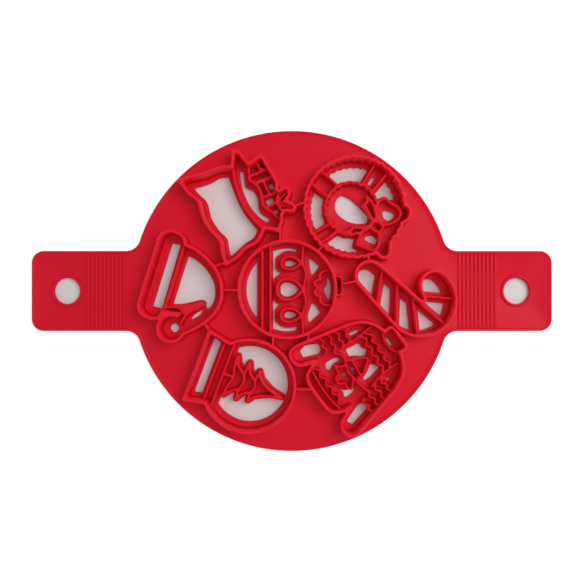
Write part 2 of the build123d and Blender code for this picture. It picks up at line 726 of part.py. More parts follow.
for side, hand in ((-1, "left"), (1, "right")):
    with BuildPart() as handle:
        for face, level, height in (
            (sheet_face.sketch, 0, sheet_thickness),
            (bead_face.sketch, sheet_thickness, edge_bead_height),
        ):
            with BuildSketch(Plane.XY.offset(level)):
                add(face)
                with Locations((side * handle_end / 2, 0)):
                    Rectangle(handle_end, 2 * handle_width, mode=Mode.INTERSECT)
                Circle(disc_radius, mode=Mode.SUBTRACT)
                with Locations((side * hang_hole_x, 0)):
                    Circle(hang_hole_radius, mode=Mode.SUBTRACT)
            extrude(amount=height)
    handle.part.label = hand + "_handle"
    export_step(handle.part, f"parts/{hand}_handle.step")

    with BuildPart() as collar:
        with BuildSketch(Plane.XY.offset(sheet_thickness)):
            with Locations((side * hang_hole_x, 0)):
                Circle(hang_collar_radius)
                Circle(hang_hole_radius, mode=Mode.SUBTRACT)
        extrude(amount=hang_collar_height)
        fillet(collar.faces().sort_by(Axis.Z)[-1].edges(), hang_collar_rounding)
    collar.part.label = hand + "_hang_collar"
    export_step(collar.part, f"parts/{hand}_hang_collar.step")

    with BuildPart() as grip:
        with BuildSketch(Plane.XZ.offset(-handle_width / 2 + edge_bead_width + grip_rib_side_gap)):
            with Locations((side * grip_rib_centre, sheet_thickness)):
                with GridLocations(grip_rib_pitch, 0, grip_rib_count, 1):
                    Ellipse(grip_rib_width / 2, grip_rib_height)
                Rectangle(
                    grip_rib_count * grip_rib_pitch + grip_rib_width, grip_rib_height * 2,
                    align=(Align.CENTER, Align.MAX), mode=Mode.SUBTRACT)
        extrude(amount=handle_width - 2 * edge_bead_width - 2 * grip_rib_side_gap)
    grip.part.label = hand + "_grip_ribs"
    export_step(grip.part, f"parts/{hand}_grip_ribs.step")


# ---- cutter walls and the lower imprint ridges inside them ----
# A wall stays inside the edge bead, and where two walls meet the later one ends at the earlier.

standing = []
for name, (plane, outline, hollow, vents) in motifs.items():
    placed_outline = plane.location * outline
    with BuildPart() as cutter:
        with BuildSketch(Plane.XY.offset(sheet_thickness)):
            add(placed_outline)
            add(plane.location * hollow, mode=Mode.SUBTRACT)
            add(wall_bed, mode=Mode.INTERSECT)
            for near_outline in standing:
                add(near_outline, mode=Mode.SUBTRACT)
        extrude(amount=cutter_height)
    standing.append(placed_outline)
    cutter.part.label = name + "_cutter"
    export_step(cutter.part, f"parts/{name}_cutter.step")

    with BuildPart() as imprint:
        with BuildSketch(plane.offset(sheet_thickness)):
            for face in imprint_faces[name]:
                add(face)
            add(hollow, mode=Mode.INTERSECT)
        extrude(amount=imprint_height)
    imprint.part.label = name + "_imprint"
    export_step(imprint.part, f"parts/{name}_imprint.step")


# ---- tie ribs that brace the cutters against each other ----

tie_lines = sized([
    [(-55, 0.4), (-35, 0.4)],
    [(-60, 16.6), (-42, 22.0)],
    [(-8.0, 56), (-8.4, 34)],
    [(-24, 47.6), (-8.3, 42.6)],
    [(-1, 60.5), (14, 65.5)],
    [(16, 24.4), (26.6, 37.6)],
    [(56.0, 36), (56.0, 18)],
    [(34, 4.4), (50, 7.4)],
    [(-13.5, -30), (-13.5, -46)],
    [(12.2, -26), (12.2, -44)],
    [(-2, -71.7), (20, -71.7)],
    [(-66, -20.6), (-55, -35)],
])

with BuildPart() as tie_ribs:
    with BuildSketch(Plane.XY.offset(sheet_thickness)):
        add(ridges(tie_lines, tie_rib_width))
    extrude(amount=cutter_height)
    for plane, outline, hollow, vents in motifs.values():
        with BuildSketch(plane.offset(sheet_thickness)):
            add(outline)
        extrude(amount=cutter_height, mode=Mode.SUBTRACT)
tie_ribs.part.label = "tie_ribs"
export_step(tie_ribs.part, "parts/tie_ribs.step")
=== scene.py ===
import json
import math

import bpy
import numpy as np
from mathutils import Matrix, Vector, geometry


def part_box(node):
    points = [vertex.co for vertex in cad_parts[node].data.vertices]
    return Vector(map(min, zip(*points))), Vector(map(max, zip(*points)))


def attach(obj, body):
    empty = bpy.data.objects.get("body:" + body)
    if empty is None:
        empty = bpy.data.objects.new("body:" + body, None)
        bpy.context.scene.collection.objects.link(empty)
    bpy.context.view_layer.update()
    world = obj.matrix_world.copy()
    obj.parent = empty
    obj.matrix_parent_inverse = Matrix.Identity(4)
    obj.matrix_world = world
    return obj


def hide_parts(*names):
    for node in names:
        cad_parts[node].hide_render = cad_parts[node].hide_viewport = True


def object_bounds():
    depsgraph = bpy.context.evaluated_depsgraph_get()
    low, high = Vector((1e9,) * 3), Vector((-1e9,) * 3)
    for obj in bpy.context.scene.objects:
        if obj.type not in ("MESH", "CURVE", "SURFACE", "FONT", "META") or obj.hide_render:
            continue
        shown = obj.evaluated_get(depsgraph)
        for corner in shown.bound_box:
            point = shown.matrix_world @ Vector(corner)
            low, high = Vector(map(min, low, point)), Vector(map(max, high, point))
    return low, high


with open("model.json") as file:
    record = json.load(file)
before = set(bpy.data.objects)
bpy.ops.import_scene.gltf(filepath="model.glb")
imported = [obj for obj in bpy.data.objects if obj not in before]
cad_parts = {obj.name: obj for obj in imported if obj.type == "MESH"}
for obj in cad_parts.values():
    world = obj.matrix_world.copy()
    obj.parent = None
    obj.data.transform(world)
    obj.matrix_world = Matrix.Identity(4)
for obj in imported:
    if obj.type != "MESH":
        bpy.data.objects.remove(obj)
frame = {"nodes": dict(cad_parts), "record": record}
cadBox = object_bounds()
metre = 1000.0  # millimetres in one metre
micronsInMetre = 1e6
motifs = ["sack", "wreath", "hat", "bauble", "cane", "globe", "jumper"]
print("frame loaded")


def nodeBox(nodeName):
    # The low and the high corner of a node's box, in millimetres.
    low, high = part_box(nodeName)
    return np.array(low) * metre, np.array(high) * metre


# Outlines read from the frame.


def openEdges(triangles):
    # Directed edges that no other triangle walks the other way.
    edges = np.concatenate([triangles[:, [0, 1]], triangles[:, [1, 2]], triangles[:, [2, 0]]])
    size = triangles.max() + 1
    ahead, back = edges[:, 0] * size + edges[:, 1], edges[:, 1] * size + edges[:, 0]
    return edges[~np.isin(ahead, back)]


flatWithin = 0.01  # millimetres: a face no further up than this is the lowest one


def footRuns(nodeName):
    # Closed runs round a node's lowest flat face, with the material on the left.
    mesh = frame["nodes"][nodeName].data
    flatPoints = np.empty(len(mesh.vertices) * 3)
    mesh.vertices.foreach_get("co", flatPoints)
    mesh.calc_loop_triangles()
    corners = np.empty(len(mesh.loop_triangles) * 3, np.int32)
    mesh.loop_triangles.foreach_get("vertices", corners)
    microns = np.round(flatPoints.reshape(-1, 3) * micronsInMetre).astype(np.int64)
    merged, place = np.unique(microns, axis=0, return_inverse=True)
    points = merged / metre
    triangles = place.reshape(-1)[corners].reshape(-1, 3)[:, ::-1]
    flat = points[:, 2] < points[:, 2].min() + flatWithin
    following = dict(openEdges(triangles[flat[triangles].all(axis=1)]).tolist())
    runs = []
    while following:
        start, here = following.popitem()
        run = [start]
        while here != start:
            run.append(here)
            here = following.pop(here)
        runs.append(points[run][:, :2])
    return runs


outlineLook = {
    "spacing": 0.35,  # between the points of a finished outline
    "finer": 3,  # times as many points before the corners are eased
    "softening": 0.3,  # how far a corner is eased
    "neighbours": 4,  # points on each side that a point is blended with
    "cornerTurn": 38.0,  # degrees: a sharper turn is a true corner
}
tiny = 1e-12  # keeps a division by zero away
tinyLength = 1e-9
farAway = 1e9  # a gap that was not worked out
pairsAtOnce = 2000000  # keeps the arrays of point and side pairs small


def easedRun(points, spacing, closed=True):
    # A cubic between each two points: its end slopes are the mean of the two
    # chords, weighted by their length, unless the chords meet at a true corner.
    ahead = np.roll(points, -1, axis=0)
    chord = ahead - points
    length = np.hypot(*chord.T)
    unit = chord / length[:, None]
    before, beforeLength = np.roll(unit, 1, axis=0), np.roll(length, 1)
    shared = unit * length[:, None] + before * beforeLength[:, None]
    shared /= np.hypot(*shared.T)[:, None] + tiny
    sharpest = math.cos(math.radians(outlineLook["cornerTurn"]))
    corner = (unit * before).sum(axis=1) < sharpest
    if not closed:
        corner[[0, -1]] = True
    leaving = np.where(corner[:, None], unit, shared)
    arriving = np.roll(np.where(corner[:, None], before, shared), -1, axis=0)
    steps = np.maximum(1, np.ceil(length / spacing)).astype(int)
    if not closed:
        steps[-1] = 1
    side = np.repeat(np.arange(len(points)), steps)
    t = (np.arange(len(side)) - np.repeat(np.cumsum(steps) - steps, steps)) / steps[side]
    t, span = t[:, None], length[side][:, None]
    return (
        (2 * t**3 - 3 * t**2 + 1) * points[side]
        + (t**3 - 2 * t**2 + t) * span * leaving[side]
        + (3 * t**2 - 2 * t**3) * ahead[side]
        + (t**3 - t**2) * span * arriving[side]
    )


def evenRun(points, spacing):
    # The same closed run with its points at an even pitch.
    ring = np.vstack([points, points[:1]])
    travelled = np.concatenate([[0], np.cumsum(np.hypot(*np.diff(ring, axis=0).T))])
    count = max(12, int(round(travelled[-1] / spacing)))
    at = np.arange(count) * travelled[-1] / count
    return np.stack([np.interp(at, travelled, ring[:, k]) for k in (0, 1)], axis=1)


def softRun(points):
    # An even run whose points are blended with their neighbours by a bell curve.
    spacing, reach = outlineLook["spacing"], outlineLook["softening"]
    even = evenRun(easedRun(points, spacing / outlineLook["finer"]), spacing)
    shifts = range(-outlineLook["neighbours"], outlineLook["neighbours"] + 1)
    weights = np.exp([-((k * spacing) ** 2) / (2 * reach**2) for k in shifts])
    blended = sum(w * np.roll(even, k, axis=0) for w, k in zip(weights, shifts))
    return blended / weights.sum()


def inwardNormals(run):
    # Unit normals to the left of a closed run, from the points on either side.
    along = np.roll(run, -1, axis=0) - np.roll(run, 1, axis=0)
    along /= np.hypot(*along.T)[:, None]
    return np.stack([-along[:, 1], along[:, 0]], axis=1)


def batches(index, run):
    # The index in parts, so that a part pairs with the run in one small array.
    return np.array_split(index, 1 + len(index) * len(run) // pairsAtOnce)


def distanceTo(points, runs):
    # Least distance from each point to the sides of closed runs: the offset from a
    # side's start, less its share along the side, held between the two ends.
    nearest = np.full(len(points), farAway)
    for run in runs:
        side = np.roll(run, -1, axis=0) - run
        square = (side**2).sum(axis=1) + tiny
        for part in batches(np.arange(len(points)), run):
            offset = points[part][:, None] - run[None]
            t = np.clip((offset * side).sum(axis=2) / square, 0, 1)
            gap = offset - t[:, :, None] * side
            gap = np.sqrt((gap**2).sum(axis=2).min(axis=1))
            nearest[part] = np.minimum(nearest[part], gap)
    return nearest


def nearTo(points, runs, reach):
    # distanceTo, worked out only within reach of the box round the runs.
    allPoints = np.vstack(runs)
    low, high = allPoints.min(axis=0) - reach, allPoints.max(axis=0) + reach
    close = ((points > low) & (points < high)).all(axis=1)
    nearest = np.full(len(points), farAway)
    nearest[close] = distanceTo(points[close], runs)
    return nearest


def nearAny(points, groups, reach):
    # The least of nearTo over several groups of runs.
    return np.minimum.reduce([nearTo(points, runs, reach) for runs in groups])


def insideRuns(points, runs):
    # Even-odd rule: a line to the right of an inner point crosses the runs an odd
    # number of times.
    inside = np.zeros(len(points), bool)
    for run in runs:
        ahead = np.roll(run, -1, axis=0)
        rise = ahead[:, 1] - run[:, 1]
        rise = np.where(rise == 0, tiny, rise)
        close = (points[:, 1] > run[:, 1].min()) & (points[:, 1] < run[:, 1].max())
        close &= points[:, 0] < run[:, 0].max()
        for part in batches(np.flatnonzero(close), run):
            x, y = points[part, 0][:, None], points[part, 1][:, None]
            crosses = (run[None, :, 1] > y) != (ahead[None, :, 1] > y)
            at = run[:, 0] + (y - run[:, 1]) * (ahead[:, 0] - run[:, 0]) / rise
            inside[part] ^= (crosses & (x < at)).sum(axis=1) % 2 == 1
    return inside


def triangulated(points, edges):
    # Triangles over the hull that keep the given edges; each corner is an input point,
    # and where two edges cross, the crossing gives way to the nearest one.
    merging = 1e-7  # points nearer than this are one
    vertices, _, faces, source, _, _ = geometry.delaunay_2d_cdt(
        points.tolist(), edges.tolist(), [], 0, merging, True
    )
    first = np.array([ids[0] if ids else -1 for ids in source])
    for crossing in np.flatnonzero(first < 0):
        first[crossing] = np.hypot(*(points - vertices[crossing]).T).argmin()
    triangles = first[np.array(faces)]
    return triangles[(triangles != np.roll(triangles, 1, axis=1)).all(axis=1)]


def ringEdges(runs):
    # Pairs of neighbouring indices round each closed run, the runs' points in one row.
    start, pairs = 0, []
    for run in runs:
        index = start + np.arange(len(run))
        pairs.append(np.stack([index, np.roll(index, -1)], axis=1))
        start += len(run)
    return np.concatenate(pairs)


def bandQuads(triangles, count):
    # Quads from the rim of a top down to the same points of its foot, count further on.
    first, second = openEdges(triangles).T
    return np.stack([second, first, first + count, second + count], axis=1)


def roundedDrop(gap, radius):
    # How far a quarter-round edge lies below its flat at a gap d from the edge:
    # r - sqrt(r^2 - (r - d)^2), and nothing once d passes r.
    return radius - np.sqrt(radius**2 - (radius - np.minimum(gap, radius)) ** 2)


# Materials.

siliconeLook = {
    "sheetColour": (0.76, 0.009, 0.032, 1),
    "shadedFootColour": (0.70, 0.0006, 0.008, 1),  # walls and ridges low down, with painted shade
    "litTopColour": (0.95, 0.014, 0.044, 1),  # the same at the cutting edge, with a painted highlight
    # heights between which the painted shade turns into the painted highlight
    "footLevel": 0.004,  # metres, as all lengths here
    "topLevel": 0.016,
    "ior": 1.42,
    "specular": 0.11,
    "roughness": 0.35,
    "roughnessSpread": 0.05,
    "mottleScale": 26.0,  # patches of the roughness, to the metre
    "mottleDetail": 3.0,
    "grain": 0.00002,
    "grainScale": 900.0,
    "grainDetail": 2.0,
    "grainStrength": 0.35,
    "glow": 0.12,  # light carried inside the silicone
    "glowReach": 0.002,
    "glowColour": (1.0, 0.12, 0.1),  # red goes furthest
}


def setInputs(tree, node, values):
    # Each input, by name or number, gets a value or the output of another node.
    for key, value in values.items():
        if isinstance(value, bpy.types.NodeSocket):
            tree.links.new(value, node.inputs[key])
        else:
            node.inputs[key].default_value = value


def mathNode(tree, operation, *values):
    node = tree.nodes.new("ShaderNodeMath")
    node.operation = operation
    setInputs(tree, node, dict(enumerate(values)))
    return node.outputs[0]


def rangeNode(tree, value, low, high, start=0.0, end=1.0):
    # Low where the value is the start, high where it is the end, in proportion between.
    node = tree.nodes.new("ShaderNodeMapRange")
    ends = {"From Min": start, "From Max": end, "To Min": low, "To Max": high}
    setInputs(tree, node, {"Value": value, **ends})
    return node.outputs["Result"]


def noiseNode(tree, place, scale, detail):
    node = tree.nodes.new("ShaderNodeTexNoise")
    setInputs(tree, node, {"Vector": place, "Scale": scale, "Detail": detail})
    return node.outputs["Fac"]


def silicone(name, colour, litTopColour=None):
    # With a second colour the first one fades into it with height: painted shade low down, a
    # painted highlight on the paler tops.
    look = siliconeLook
    material = bpy.data.materials.new(name)
    material.use_nodes = True
    tree = material.node_tree
    shader = tree.nodes["Principled BSDF"]
    place = tree.nodes.new("ShaderNodeTexCoord").outputs["Object"]
    mottle = noiseNode(tree, place, look["mottleScale"], look["mottleDetail"])
    grain = noiseNode(tree, place, look["grainScale"], look["grainDetail"])
    least = look["roughness"] - look["roughnessSpread"]
    most = look["roughness"] + look["roughnessSpread"]
    bump = tree.nodes.new("ShaderNodeBump")
    bumpLook = {"Strength": look["grainStrength"], "Distance": look["grain"]}
    setInputs(tree, bump, {"Height": grain, **bumpLook})
    setInputs(tree, shader, {
        "Base Color": colour,
        "IOR": look["ior"],
        "Specular IOR Level": look["specular"],
        "Subsurface Weight": look["glow"],
        "Subsurface Radius": look["glowColour"],
        "Subsurface Scale": look["glowReach"],
        "Roughness": rangeNode(tree, mottle, least, most),
        "Normal": bump.outputs["Normal"],
    })
    # painted light by height: painted shade at the foot, painted highlight at the top
    if litTopColour:
        split = tree.nodes.new("ShaderNodeSeparateXYZ")
        setInputs(tree, split, {0: place})
        levels = look["footLevel"], look["topLevel"]
        climb = rangeNode(tree, split.outputs["Z"], 0.0, 1.0, *levels)
        climb.node.interpolation_type = "SMOOTHSTEP"
        blend = tree.nodes.new("ShaderNodeMix")
        blend.data_type = "RGBA"
        setInputs(tree, blend, {"Factor": climb, "A": colour, "B": litTopColour})
        setInputs(tree, shader, {"Base Color": blend.outputs["Result"]})
    return material


finishes = {
    "sheet_silicone": silicone("sheetSilicone", siliconeLook["sheetColour"]),
    # the cutter silicone gets painted shade low down and a painted highlight on top
    "cutter_silicone": silicone(
        "cutterSilicone", siliconeLook["shadedFootColour"], siliconeLook["litTopColour"]
    ),
}
slotOf = {part["node"]: part["material_slot"] for part in frame["record"]["subparts"]}
creaseAngle = 45.0  # degrees: a sharper edge is shaded as an edge


def addPiece(name, nodeName, points, faces):
    # Points come in millimetres; the piece stands for its CAD node, on the root body.
    mesh = bpy.data.meshes.new(name)
    mesh.from_pydata((points / metre).tolist(), [], faces)
    mesh.polygons.foreach_set("use_smooth", np.ones(len(mesh.polygons), bool))
    mesh.update()
    mesh.set_sharp_from_angle(angle=math.radians(creaseAngle))
    mesh.materials.append(finishes[slotOf[nodeName]])
    piece = bpy.data.objects.new(name, mesh)
    bpy.context.scene.collection.objects.link(piece)
    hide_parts(nodeName)
    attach(piece, "root")


# Cutter walls, imprint ridges and tie ribs.

wallLook = {
    "draft": 0.35,  # how far each side leans in from foot to shoulder
    "shoulder": 0.9,  # radius of the rounded top edge
    "shoulderRows": 5,
    "rowKept": 0.93,  # share of a row's depth that it keeps from every side
    "merging": 0.06,  # row points nearer than this are one
    "sunk": 0.6,  # depth of the foot inside the sheet
    "touch": 0.03,  # a run this near another wall lies on it
    "touchSearch": 1.0,
    "keyed": 1.1,  # how far a ridge's end runs into the wall it meets
}


def keyedRun(run, otherRuns):
    # Where a run lies on another wall, it is moved into that wall along its own
    # outward normal, and the two ends of that stretch keep a point at the surface.
    touch, search = wallLook["touch"], wallLook["touchSearch"]
    touching = nearTo(run, otherRuns, search) < touch
    ahead = np.roll(run, -1, axis=0)
    middle = nearTo((run + ahead) / 2, otherRuns, search) < 2 * touch
    onWall = touching & np.roll(touching, -1) & middle
    if not onWall.any():
        return run
    side = ahead - run
    length = np.hypot(*side.T)[:, None] + tinyLength
    outward = np.stack([side[:, 1], -side[:, 0]], axis=1) / length
    outward *= onWall[:, None]
    before = np.roll(onWall, 1)
    push = outward + np.roll(outward, 1, axis=0)
    push *= wallLook["keyed"] / (np.hypot(*push.T)[:, None] + tinyLength)
    first, last = onWall & ~before, before & ~onWall
    index = np.repeat(np.arange(len(run)), 1 + (first | last))
    second = np.concatenate([[False], index[1:] == index[:-1]])
    moved = np.where(first[index], second, np.where(last[index], ~second, onWall[index]))
    return run[index] + push[index] * moved[:, None]


def addWall(name, nodeName, runs):
    # A side band leans in from the foot to an edge, and between its edges the top is a
    # quarter round over the distance to the edge, and flat further in. The foot has
    # the same triangles as the top, turned over.
    look = wallLook
    low, high = nodeBox(nodeName)
    radius, rows = look["shoulder"], look["shoulderRows"]
    edgeRuns = [run + inwardNormals(run) * look["draft"] for run in runs]
    edge = np.vstack(edgeRuns)
    inward = np.vstack([inwardNormals(run) for run in edgeRuns])
    turns = np.arange(1, rows + 1) / rows * math.pi / 2
    inner = []
    for depth in radius * (1 - np.cos(turns)):
        ring = edge + inward * depth
        inner.append(ring[distanceTo(ring, edgeRuns) > look["rowKept"] * depth])
    inner = np.vstack(inner)
    cells = np.round(inner / look["merging"]).astype(int)
    inner = inner[np.unique(cells, axis=0, return_index=True)[1]]
    points = np.vstack([edge, inner])
    top = triangulated(points, ringEdges(edgeRuns))
    top = top[insideRuns(points[top].mean(axis=1), edgeRuns)]
    gap = np.concatenate([np.zeros(len(edge)), distanceTo(inner, edgeRuns)])
    height = high[2] - roundedDrop(gap, radius)
    foot = np.vstack([*runs, inner])
    footLevel = np.full(len(foot), low[2] - look["sunk"])
    topPoints, footPoints = np.column_stack([points, height]), np.column_stack([foot, footLevel])
    count = len(points)
    faces = top.tolist() + bandQuads(top, count).tolist() + (top[:, ::-1] + count).tolist()
    addPiece(name, nodeName, np.vstack([topPoints, footPoints]), faces)


cutterRuns = {name: footRuns(name + "_cutter") for name in motifs}
wallRuns = {name: [softRun(run) for run in cutterRuns[name]] for name in motifs}
allCutterRuns = [run for name in motifs for run in cutterRuns[name]]
for name in motifs:
    addWall(name + "Wall", name + "_cutter", wallRuns[name])
    ridgeRuns = footRuns(name + "_imprint")
    ridgeRuns = [softRun(keyedRun(run, cutterRuns[name])) for run in ridgeRuns]
    addWall(name + "Ridges", name + "_imprint", ridgeRuns)
    wallRuns[name] += ridgeRuns
tieRuns = [softRun(keyedRun(run, allCutterRuns)) for run in footRuns("tie_ribs")]
addWall("tieWalls", "tie_ribs", tieRuns)
print("walls, ridges and ties built")


# The sheet: disc and handles.

sheetLook = {
    "edgeRadius": 0.7,  # quarter round on top of the rim
    "beadWidth": 1.3,
    "beadFall": 0.7,  # from the bead down to the sheet
    "underRadius": 0.35,  # quarter round at every lower edge
    "ventRadius": 0.45,  # quarter round on top of an opening
    "footFillet": 0.9,  # hollow round at the foot of each wall
    "rimSpacing": 0.8,  # between the points of the rim
    "holeSpacing": 0.5,
    "openRings": (80, 118, 5),  # radii of the rings of points outside the motifs
    "edgeRows": (0.06, 0.22, 0.5, 1.0),  # rows of points, as shares of the radius
    "fallRows": (0, 0.3, 0.6, 1.0),
    "ventRows": (0.1, 0.4, 1.0),
    "footRows": (0.12, 0.4, 1.0),
    "rowKept": 0.9,  # share of a row's depth that it keeps from every side
    "merging": 0.03,  # points nearer than this are one
    "onDisc": 0.02,  # a handle's point this near the disc's circle is on it
}

sheetLow, sheetHigh = nodeBox("press_disc")
discRadius, beadLevel = sheetHigh[0], sheetHigh[2]
sheetLevel = nodeBox("bauble_cutter")[0][2]
holes = {
    mount["name"].split("_")[0]: (mount["pos_m"][0] * metre, mount["dims"]["r_mm"])
    for mount in frame["record"]["mounts"]
    if mount["kind"] == "bore"
}


def circleRun(x, radius, spacing):
    # A circle about a point on the long axis, counter-clockwise.
    count = len(np.arange(0, 2 * math.pi, spacing / radius))
    turn = np.linspace(0, 2 * math.pi, count + 1)[:-1]
    return np.stack([x + radius * np.cos(turn), radius * np.sin(turn)], axis=1)


def handleRun(nodeName):
    # The free edge of a handle, from where it leaves the disc to where it meets it again.
    run = max(footRuns(nodeName), key=len)
    onDisc = np.hypot(*run.T) < discRadius + sheetLook["onDisc"]
    start = int(np.flatnonzero(onDisc & ~np.roll(onDisc, -1))[0])
    run = np.roll(run, -start, axis=0)[: int((~onDisc).sum()) + 2]
    return easedRun(run, sheetLook["rimSpacing"], closed=False)


def discArc(start, end):
    # Points on the disc's circle strictly between two points, counter-clockwise.
    a, b = math.atan2(start[1], start[0]), math.atan2(end[1], end[0])
    b += 2 * math.pi * (b < a)
    count = int(discRadius * (b - a) / sheetLook["rimSpacing"]) + 2
    turn = np.linspace(a, b, count)[1:-1]
    return discRadius * np.stack([np.cos(turn), np.sin(turn)], axis=1)


# The rim goes round both handles. The arcs between a handle and the disc divide them.
rightRun, leftRun = handleRun("right_handle"), handleRun("left_handle")
upperArc, lowerArc = discArc(rightRun[-1], leftRun[0]), discArc(leftRun[-1], rightRun[0])
rimRun = np.vstack([rightRun, upperArc, leftRun, lowerArc])
discRuns = footRuns("press_disc")
discRuns.sort(key=lambda run: -np.ptp(run[:, 0]))
ventRuns = [softRun(run) for run in discRuns[1:]]
holeRuns = [circleRun(x, radius, sheetLook["holeSpacing"])[::-1] for x, radius in holes.values()]
openingRuns = ventRuns + holeRuns
edgePoints = np.vstack([rimRun] + openingRuns)
edgePairs = ringEdges([rimRun] + openingRuns)
for run, firstCorner in ((rightRun, 0), (leftRun, len(rightRun) + len(upperArc))):
    arc = discArc(run[0], run[-1])
    onArc = range(len(edgePoints), len(edgePoints) + len(arc))
    chain = [firstCorner, *onArc, firstCorner + len(run) - 1]
    edgePairs = np.vstack([edgePairs, np.stack([chain[:-1], chain[1:]], axis=1)])
    edgePoints = np.vstack([edgePoints, arc])


def rowsBeside(runs, depths, thin=1):
    # Rows of points at set depths from runs, kept where the run isn't nearer.
    rows = []
    for run in runs:
        normals = inwardNormals(run)
        for depth in depths:
            row = (run + normals * depth)[::thin]
            gap = nearTo(row, [run], 2 * abs(depth))
            rows.append(row[gap > sheetLook["rowKept"] * abs(depth)])
    return np.vstack(rows)


def sheetTop(points):
    # Rim: a quarter round up to the bead, then a smooth fall 3t^2 - 2t^3 to the sheet.
    # Walls: a hollow quarter round at the foot. Openings: a quarter round at the lip.
    look = sheetLook
    rimGap = distanceTo(points, [rimRun])
    fallen = np.clip((rimGap - look["beadWidth"]) / look["beadFall"], 0, 1)
    lift = beadLevel - sheetLevel
    height = sheetLevel + lift * (1 - fallen**2 * (3 - 2 * fallen))
    height -= roundedDrop(rimGap, look["edgeRadius"])
    fillet, lip = look["footFillet"], look["ventRadius"]
    height += roundedDrop(nearAny(points, [*wallRuns.values(), tieRuns], fillet), fillet)
    height -= roundedDrop(nearAny(points, [[run] for run in openingRuns], lip), lip)
    return height


def sheetUnder(points):
    # Flat, with a small quarter round at every edge.
    radius = sheetLook["underRadius"]
    gap = nearAny(points, [[run] for run in openingRuns], radius)
    gap = np.minimum(gap, distanceTo(points, [rimRun]))
    return sheetLow[2] + roundedDrop(gap, radius)


def sheetFace(rows, heights):
    # Triangles between the rim and the openings, with their middles in the plane.
    points = np.vstack([edgePoints, rows])
    cells = np.round(points / sheetLook["merging"]).astype(int)
    keep = np.unique(cells, axis=0, return_index=True)[1]
    points = points[np.union1d(np.arange(len(edgePoints)), keep)]
    triangles = triangulated(points, edgePairs)
    middle = points[triangles].mean(axis=1)
    material = insideRuns(middle, [rimRun])
    for run in openingRuns:
        material &= ~insideRuns(middle, [run])
    return np.column_stack([points, heights(points)]), triangles[material], middle[material]


def belongs(middle, side):
    # Whether a middle is on the disc (side 0), the right handle (1) or the left one (-1).
    outside = np.hypot(*middle.T) > discRadius
    return outside & (middle[:, 0] * side > 0) if side else ~outside


radius, width, fall = (sheetLook[key] for key in ("edgeRadius", "beadWidth", "beadFall"))
rimDepths = [radius * k for k in sheetLook["edgeRows"]]
rimDepths += [width + fall * k for k in sheetLook["fallRows"]]
ventDepths = [sheetLook["ventRadius"] * k for k in sheetLook["ventRows"]]
footDepths = [-sheetLook["footFillet"] * k for k in sheetLook["footRows"]]
standing = [run for name in motifs for run in wallRuns[name]] + tieRuns
ringStep = sheetLook["openRings"][2]
topRows = np.vstack([
    rowsBeside([rimRun], rimDepths),
    rowsBeside(openingRuns, ventDepths),
    rowsBeside(standing, footDepths, thin=2),
    *(circleRun(0, r, ringStep) for r in range(*sheetLook["openRings"])),
])
underRows = rowsBeside([rimRun] + openingRuns, [sheetLook["underRadius"]])
topPoints, topTriangles, topMiddle = sheetFace(topRows, sheetTop)
underPoints, underTriangles, underMiddle = sheetFace(underRows, sheetUnder)
print("sheet faces built")
sections = (
    ("discSheet", "press_disc", 0),
    ("rightHandlePad", "right_handle", 1),
    ("leftHandlePad", "left_handle", -1),
)
for name, nodeName, side in sections:
    top = topTriangles[belongs(topMiddle, side)]
    under = underTriangles[belongs(underMiddle, side)]
    count = len(topPoints)
    band = bandQuads(top, count)
    corners = np.concatenate([top.ravel(), under[:, ::-1].ravel() + count, band.ravel()])
    used, place = np.unique(corners, return_inverse=True)
    flatFaces, bandFaces = np.split(place.reshape(-1), [top.size + under.size])
    faces = flatFaces.reshape(-1, 3).tolist() + bandFaces.reshape(-1, 4).tolist()
    addPiece(name, nodeName, np.vstack([topPoints, underPoints])[used], faces)
    print(name, "built")


# Hang collars and grip ribs.

collarLook = {
    "rounding": 0.85,  # radius on top, outside and inside
    "rows": 6,  # points on each quarter round
    "segments": 120,
    "sunk": 0.4,  # depth of the foot inside the handle
}


def buildCollar(hand):
    # A profile turned about the hole: it goes up the outside, over two quarter rounds
    # and down the inside, and the next turn's points follow on.
    look = collarLook
    low, high = nodeBox(hand + "_hang_collar")
    centre, inner = holes[hand]
    outer, r = (high[0] - low[0]) / 2, look["rounding"]
    foot, top = low[2] - look["sunk"], high[2]
    bend = np.linspace(0, math.pi / 2, look["rows"])
    over, down = r * np.sin(bend), r * np.cos(bend)
    across = np.concatenate([[outer], outer - r + down, inner + r - over, [inner]])
    up = np.concatenate([[foot], top - r + over, top - r + down, [foot]])
    turn = np.linspace(0, 2 * math.pi, look["segments"], endpoint=False)[:, None]
    x, y = centre + across * np.cos(turn), across * np.sin(turn)
    points = np.stack([x, y, np.broadcast_to(up, x.shape)], axis=-1).reshape(-1, 3)
    index = np.arange(len(points)).reshape(x.shape)
    ahead = np.roll(index, -1, axis=0)
    nextUp = np.roll(index, -1, axis=1), np.roll(ahead, -1, axis=1)
    faces = np.stack([index, ahead, nextUp[1], nextUp[0]], axis=-1).reshape(-1, 4)
    addPiece(hand + "HoleCollar", hand + "_hang_collar", points, faces.tolist())


gripLook = {
    "ribs": 10,
    "pitch": 3.0,
    "rows": 12,  # faces over a rib
    "lengths": 24,  # faces along a rib
    "fullness": 0.6,  # 1 is an ellipse, less is fuller at the shoulders
    "endPower": 40,  # more keeps the full height nearer to the end
    "endHeight": 0.1,  # share of the height at the very end
    "endNarrowing": 0.4,  # share of the width lost as the height goes
    "sunk": 0.2,  # depth of the foot inside the handle
}


